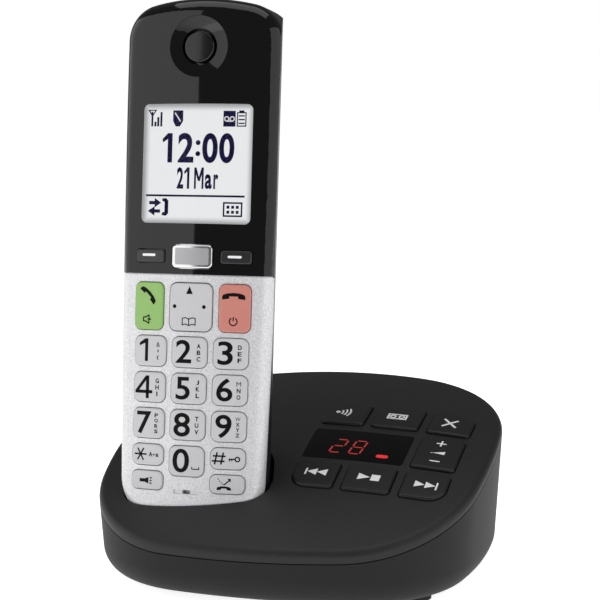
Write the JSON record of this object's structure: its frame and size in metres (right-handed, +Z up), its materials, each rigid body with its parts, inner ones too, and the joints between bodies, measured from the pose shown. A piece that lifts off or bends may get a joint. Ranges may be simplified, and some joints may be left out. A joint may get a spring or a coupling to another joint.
{
  "type": "cordless phone with base",
  "caption": "Cordless telephone handset leaning in a wedge-shaped charging base with a built-in answering machine, display and keys.",
  "frame": {"origin": "on the table, under the middle of the base's outline", "axes": "+Z up, -Y the side the user faces, +X towards the answering machine's keys"},
  "size_m": [0.1213, 0.1059, 0.1756],
  "materials": {
    "silver_plastic": "fine silver paint, satin",
    "grey_keys": "satin",
    "gloss_black": "piano gloss",
    "clear_lens": "clear polished",
    "lcd_face": "smooth backlit display",
    "black_plastic": "fine texture, satin",
    "green_key": "satin",
    "red_key": "satin",
    "chrome_trim": "bright bevel, brushed face",
    "circuit_board": "solder resist",
    "silicone_mat": "matt",
    "rubber_feet": "matt",
    "steel_parts": "plain",
    "contact_metal": "nickel plated",
    "battery_sleeve": "printed sleeve",
    "red_lamp": "diffused"
  },
  "bodies": {
    "base": {"base_top_cover": "black_plastic", "base_bottom_case": "black_plastic", "base_feet": "rubber_feet", "base_display_window": "gloss_black", "base_led_display": "black_plastic", "message_led": "red_lamp", "base_board": "circuit_board", "base_key_mat": "silicone_mat", "base_speaker": "steel_parts", "line_socket": "black_plastic", "dc_inlet": "black_plastic", "base_screws": "steel_parts"},
    "handset": {"handset_rear_case": "black_plastic", "handset_front_case": "silver_plastic", "handset_display_panel": "gloss_black", "display_lens": "clear_lens", "lcd_module": "lcd_face", "lcd_frame": "black_plastic", "earpiece_cap": "black_plastic", "earpiece_receiver": "steel_parts", "handset_board": "circuit_board", "keypad_mat": "silicone_mat", "handset_microphone": "steel_parts", "handset_speaker": "steel_parts", "battery_cells": "battery_sleeve", "battery_contacts": "steel_parts", "handset_charge_contacts": "contact_metal", "handset_screws": "steel_parts"},
    "battery_door": {"battery_cover": "black_plastic"},
    "nav_boss": {"nav_boss": "black_plastic"},
    "nav_key": {"key_nav": "grey_keys"},
    "volume_key": {"base_key_volume": "black_plastic"},
    "charge_pin_left": {"charge_pin_left": "contact_metal"},
    "charge_pin_right": {"charge_pin_right": "contact_metal"},
    "key_1": {"key_1": "grey_keys"},
    "key_2": {"key_2": "grey_keys"},
    "key_3": {"key_3": "grey_keys"},
    "key_4": {"key_4": "grey_keys"},
    "key_5": {"key_5": "grey_keys"},
    "key_6": {"key_6": "grey_keys"},
    "key_7": {"key_7": "grey_keys"},
    "key_8": {"key_8": "grey_keys"},
    "key_9": {"key_9": "grey_keys"},
    "key_star": {"key_star": "grey_keys"},
    "key_0": {"key_0": "grey_keys"},
    "key_hash": {"key_hash": "grey_keys"},
    "key_loud": {"key_loud": "grey_keys"},
    "key_redial": {"key_redial": "grey_keys"},
    "key_talk": {"key_talk": "green_key"},
    "key_off": {"key_off": "red_key"},
    "key_soft_left": {"key_soft_left": "black_plastic"},
    "key_soft_center": {"key_soft_center": "chrome_trim"},
    "key_soft_right": {"key_soft_right": "black_plastic"},
    "base_key_locator": {"base_key_locator": "black_plastic"},
    "base_key_answer_on": {"base_key_answer_on": "black_plastic"},
    "base_key_erase": {"base_key_erase": "black_plastic"},
    "base_key_previous": {"base_key_previous": "black_plastic"},
    "base_key_play_stop": {"base_key_play_stop": "black_plastic"},
    "base_key_next": {"base_key_next": "black_plastic"}
  },
  "joints": [
    {"name": "handset_lift", "type": "slide", "parent": "base", "child": "handset", "axis": [0, 0.1288, 0.9917], "range_m": [0, 0.07]},
    {"name": "battery_door_off", "type": "slide", "parent": "handset", "child": "battery_door", "axis": [0, 0.9917, -0.1288], "range_m": [0, 0.015]},
    {"name": "nav_up_down", "type": "hinge", "parent": "handset", "child": "nav_boss", "pos_m": [-0.025, -0.02532, 0.08418], "axis": [1, 0, 0], "range_deg": [-3, 3], "stiffness_Nm_per_rad": 0.05},
    {"name": "nav_left_right", "type": "hinge", "parent": "nav_boss", "child": "nav_key", "pos_m": [-0.025, -0.02532, 0.08418], "axis": [0, 0.1288, 0.9917], "range_deg": [-3, 3], "stiffness_Nm_per_rad": 0.05},
    {"name": "volume_rock", "type": "hinge", "parent": "base", "child": "volume_key", "pos_m": [0.04474, -0.00455, 0.0356], "axis": [0.9986, 0, -0.0533], "range_deg": [-2.5, 2.5], "stiffness_Nm_per_rad": 0.05},
    {"name": "key_1_press", "type": "slide", "parent": "handset", "child": "key_1", "axis": [0, 0.9917, -0.1288], "range_m": [0, 0.0008], "stiffness_N_per_m": 400},
    {"name": "key_2_press", "type": "slide", "parent": "handset", "child": "key_2", "axis": [0, 0.9917, -0.1288], "range_m": [0, 0.0008], "stiffness_N_per_m": 400},
    {"name": "key_3_press", "type": "slide", "parent": "handset", "child": "key_3", "axis": [0, 0.9917, -0.1288], "range_m": [0, 0.0008], "stiffness_N_per_m": 400},
    {"name": "key_4_press", "type": "slide", "parent": "handset", "child": "key_4", "axis": [0, 0.9917, -0.1288], "range_m": [0, 0.0008], "stiffness_N_per_m": 400},
    {"name": "key_5_press", "type": "slide", "parent": "handset", "child": "key_5", "axis": [0, 0.9917, -0.1288], "range_m": [0, 0.0008], "stiffness_N_per_m": 400},
    {"name": "key_6_press", "type": "slide", "parent": "handset", "child": "key_6", "axis": [0, 0.9917, -0.1288], "range_m": [0, 0.0008], "stiffness_N_per_m": 400},
    {"name": "key_7_press", "type": "slide", "parent": "handset", "child": "key_7", "axis": [0, 0.9917, -0.1288], "range_m": [0, 0.0008], "stiffness_N_per_m": 400},
    {"name": "key_8_press", "type": "slide", "parent": "handset", "child": "key_8", "axis": [0, 0.9917, -0.1288], "range_m": [0, 0.0008], "stiffness_N_per_m": 400},
    {"name": "key_9_press", "type": "slide", "parent": "handset", "child": "key_9", "axis": [0, 0.9917, -0.1288], "range_m": [0, 0.0008], "stiffness_N_per_m": 400},
    {"name": "key_star_press", "type": "slide", "parent": "handset", "child": "key_star", "axis": [0, 0.9917, -0.1288], "range_m": [0, 0.0008], "stiffness_N_per_m": 400},
    {"name": "key_0_press", "type": "slide", "parent": "handset", "child": "key_0", "axis": [0, 0.9917, -0.1288], "range_m": [0, 0.0008], "stiffness_N_per_m": 400},
    {"name": "key_hash_press", "type": "slide", "parent": "handset", "child": "key_hash", "axis": [0, 0.9917, -0.1288], "range_m": [0, 0.0008], "stiffness_N_per_m": 400},
    {"name": "key_loud_press", "type": "slide", "parent": "handset", "child": "key_loud", "axis": [0, 0.9917, -0.1288], "range_m": [0, 0.0008], "stiffness_N_per_m": 400},
    {"name": "key_redial_press", "type": "slide", "parent": "handset", "child": "key_redial", "axis": [0, 0.9917, -0.1288], "range_m": [0, 0.0008], "stiffness_N_per_m": 400},
    {"name": "key_talk_press", "type": "slide", "parent": "handset", "child": "key_talk", "axis": [0, 0.9917, -0.1288], "range_m": [0, 0.0008], "stiffness_N_per_m": 400},
    {"name": "key_off_press", "type": "slide", "parent": "handset", "child": "key_off", "axis": [0, 0.9917, -0.1288], "range_m": [0, 0.0008], "stiffness_N_per_m": 400},
    {"name": "key_soft_left_press", "type": "slide", "parent": "handset", "child": "key_soft_left", "axis": [0, 0.9917, -0.1288], "range_m": [0, 0.0008], "stiffness_N_per_m": 400},
    {"name": "key_soft_center_press", "type": "slide", "parent": "handset", "child": "key_soft_center", "axis": [0, 0.9917, -0.1288], "range_m": [0, 0.0008], "stiffness_N_per_m": 400},
    {"name": "key_soft_right_press", "type": "slide", "parent": "handset", "child": "key_soft_right", "axis": [0, 0.9917, -0.1288], "range_m": [0, 0.0008], "stiffness_N_per_m": 400},
    {"name": "base_key_locator_press", "type": "slide", "parent": "base", "child": "base_key_locator", "axis": [-0.0504, 0.3255, -0.9442], "range_m": [0, 0.0008], "stiffness_N_per_m": 400},
    {"name": "base_key_answer_on_press", "type": "slide", "parent": "base", "child": "base_key_answer_on", "axis": [-0.0504, 0.3255, -0.9442], "range_m": [0, 0.0008], "stiffness_N_per_m": 400},
    {"name": "base_key_erase_press", "type": "slide", "parent": "base", "child": "base_key_erase", "axis": [-0.0504, 0.3255, -0.9442], "range_m": [0, 0.0008], "stiffness_N_per_m": 400},
    {"name": "base_key_previous_press", "type": "slide", "parent": "base", "child": "base_key_previous", "axis": [-0.0504, 0.3255, -0.9442], "range_m": [0, 0.0008], "stiffness_N_per_m": 400},
    {"name": "base_key_play_stop_press", "type": "slide", "parent": "base", "child": "base_key_play_stop", "axis": [-0.0504, 0.3255, -0.9442], "range_m": [0, 0.0008], "stiffness_N_per_m": 400},
    {"name": "base_key_next_press", "type": "slide", "parent": "base", "child": "base_key_next", "axis": [-0.0504, 0.3255, -0.9442], "range_m": [0, 0.0008], "stiffness_N_per_m": 400},
    {"name": "charge_pin_left_press", "type": "slide", "parent": "base", "child": "charge_pin_left", "axis": [0, -0.1288, -0.9917], "range_m": [0, 0.0012], "stiffness_N_per_m": 400},
    {"name": "charge_pin_right_press", "type": "slide", "parent": "base", "child": "charge_pin_right", "axis": [0, -0.1288, -0.9917], "range_m": [0, 0.0012], "stiffness_N_per_m": 400}
  ]
}
